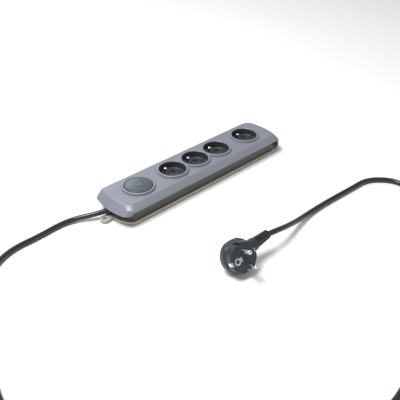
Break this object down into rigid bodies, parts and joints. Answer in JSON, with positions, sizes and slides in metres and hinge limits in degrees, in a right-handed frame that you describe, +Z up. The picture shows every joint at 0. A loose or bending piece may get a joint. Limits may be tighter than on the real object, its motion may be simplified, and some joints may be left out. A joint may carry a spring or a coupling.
{
  "type": "desk power strip",
  "caption": "Desk power strip with round earthed outlets, a large round push switch, a hanging eyelet and a coiled lead with an angled plug.",
  "frame": {"origin": "floor level, under the middle of the strip with its eyelet, without the lead", "axes": "+X along the strip, away from the switch and the lead, +Z up"},
  "size_m": [0.6103, 0.4508, 0.0448],
  "materials": {
    "cover_silver": "satin silver-grey",
    "tray_olive": "fine matt",
    "plate_light": "satin",
    "foot_rubber": "matt",
    "screw_steel": "zinc plated",
    "insert_black": "fine matt",
    "shutter_grey": "matt",
    "pin_nickel": "nickel plated",
    "contact_brass": "bright",
    "button_slate": "satin slate blue",
    "housing_plastic": "matt",
    "spring_steel": "bright wire",
    "gland_rubber": "satin",
    "sheath_pvc": "semi-gloss",
    "wire_brown": "semi-gloss",
    "wire_blue": "semi-gloss",
    "wire_green": "semi-gloss",
    "plug_plastic": "satin",
    "tie_black": "matt"
  },
  "bodies": {
    "strip": {"base_plate": "plate_light", "rubber_feet": "foot_rubber", "case_screws": "screw_steel", "body_tray": "tray_olive", "top_cover": "cover_silver", "socket_insert_1": "insert_black", "socket_insert_2": "insert_black", "socket_insert_3": "insert_black", "socket_insert_4": "insert_black", "earth_pins": "pin_nickel", "earth_busbar": "contact_brass", "live_busbar": "contact_brass", "neutral_busbar": "contact_brass", "live_contacts": "contact_brass", "neutral_contacts": "contact_brass", "switch_housing": "housing_plastic", "switch_terminals": "contact_brass", "switch_spring": "spring_steel", "cord_gland": "gland_rubber", "cord_stub": "sheath_pvc", "cord_clamp": "housing_plastic", "clamp_screws": "screw_steel", "wire_live": "wire_brown", "wire_neutral": "wire_blue", "wire_earth": "wire_green", "cord_to_coil": "sheath_pvc", "cord_coil": "sheath_pvc", "cord_tie": "tie_black", "cord_to_plug": "sheath_pvc", "plug_body": "plug_plastic", "plug_relief": "plug_plastic", "plug_pins": "pin_nickel", "plug_earth_clips": "pin_nickel", "plug_earth_sleeve": "pin_nickel", "plug_face_plate": "pin_nickel"},
    "switch": {"switch_button": "button_slate", "switch_bridge": "contact_brass"},
    "shutter_1": {"shutter_1": "shutter_grey"},
    "shutter_2": {"shutter_2": "shutter_grey"},
    "shutter_3": {"shutter_3": "shutter_grey"},
    "shutter_4": {"shutter_4": "shutter_grey"}
  },
  "joints": [
    {"name": "switch_press", "type": "slide", "parent": "strip", "child": "switch", "axis": [0, 0, -1], "range_m": [0, 0.003], "stiffness_N_per_m": 900, "springref_m": -0.002, "deforming": ["switch_spring"]},
    {"name": "shutter_1_slide", "type": "slide", "parent": "strip", "child": "shutter_1", "axis": [0.7071, -0.7071, 0], "range_m": [0, 0.007], "stiffness_N_per_m": 60, "springref_m": -0.002},
    {"name": "shutter_2_slide", "type": "slide", "parent": "strip", "child": "shutter_2", "axis": [0.7071, -0.7071, 0], "range_m": [0, 0.007], "stiffness_N_per_m": 60, "springref_m": -0.002},
    {"name": "shutter_3_slide", "type": "slide", "parent": "strip", "child": "shutter_3", "axis": [0.7071, -0.7071, 0], "range_m": [0, 0.007], "stiffness_N_per_m": 60, "springref_m": -0.002},
    {"name": "shutter_4_slide", "type": "slide", "parent": "strip", "child": "shutter_4", "axis": [0.7071, -0.7071, 0], "range_m": [0, 0.007], "stiffness_N_per_m": 60, "springref_m": -0.002}
  ]
}
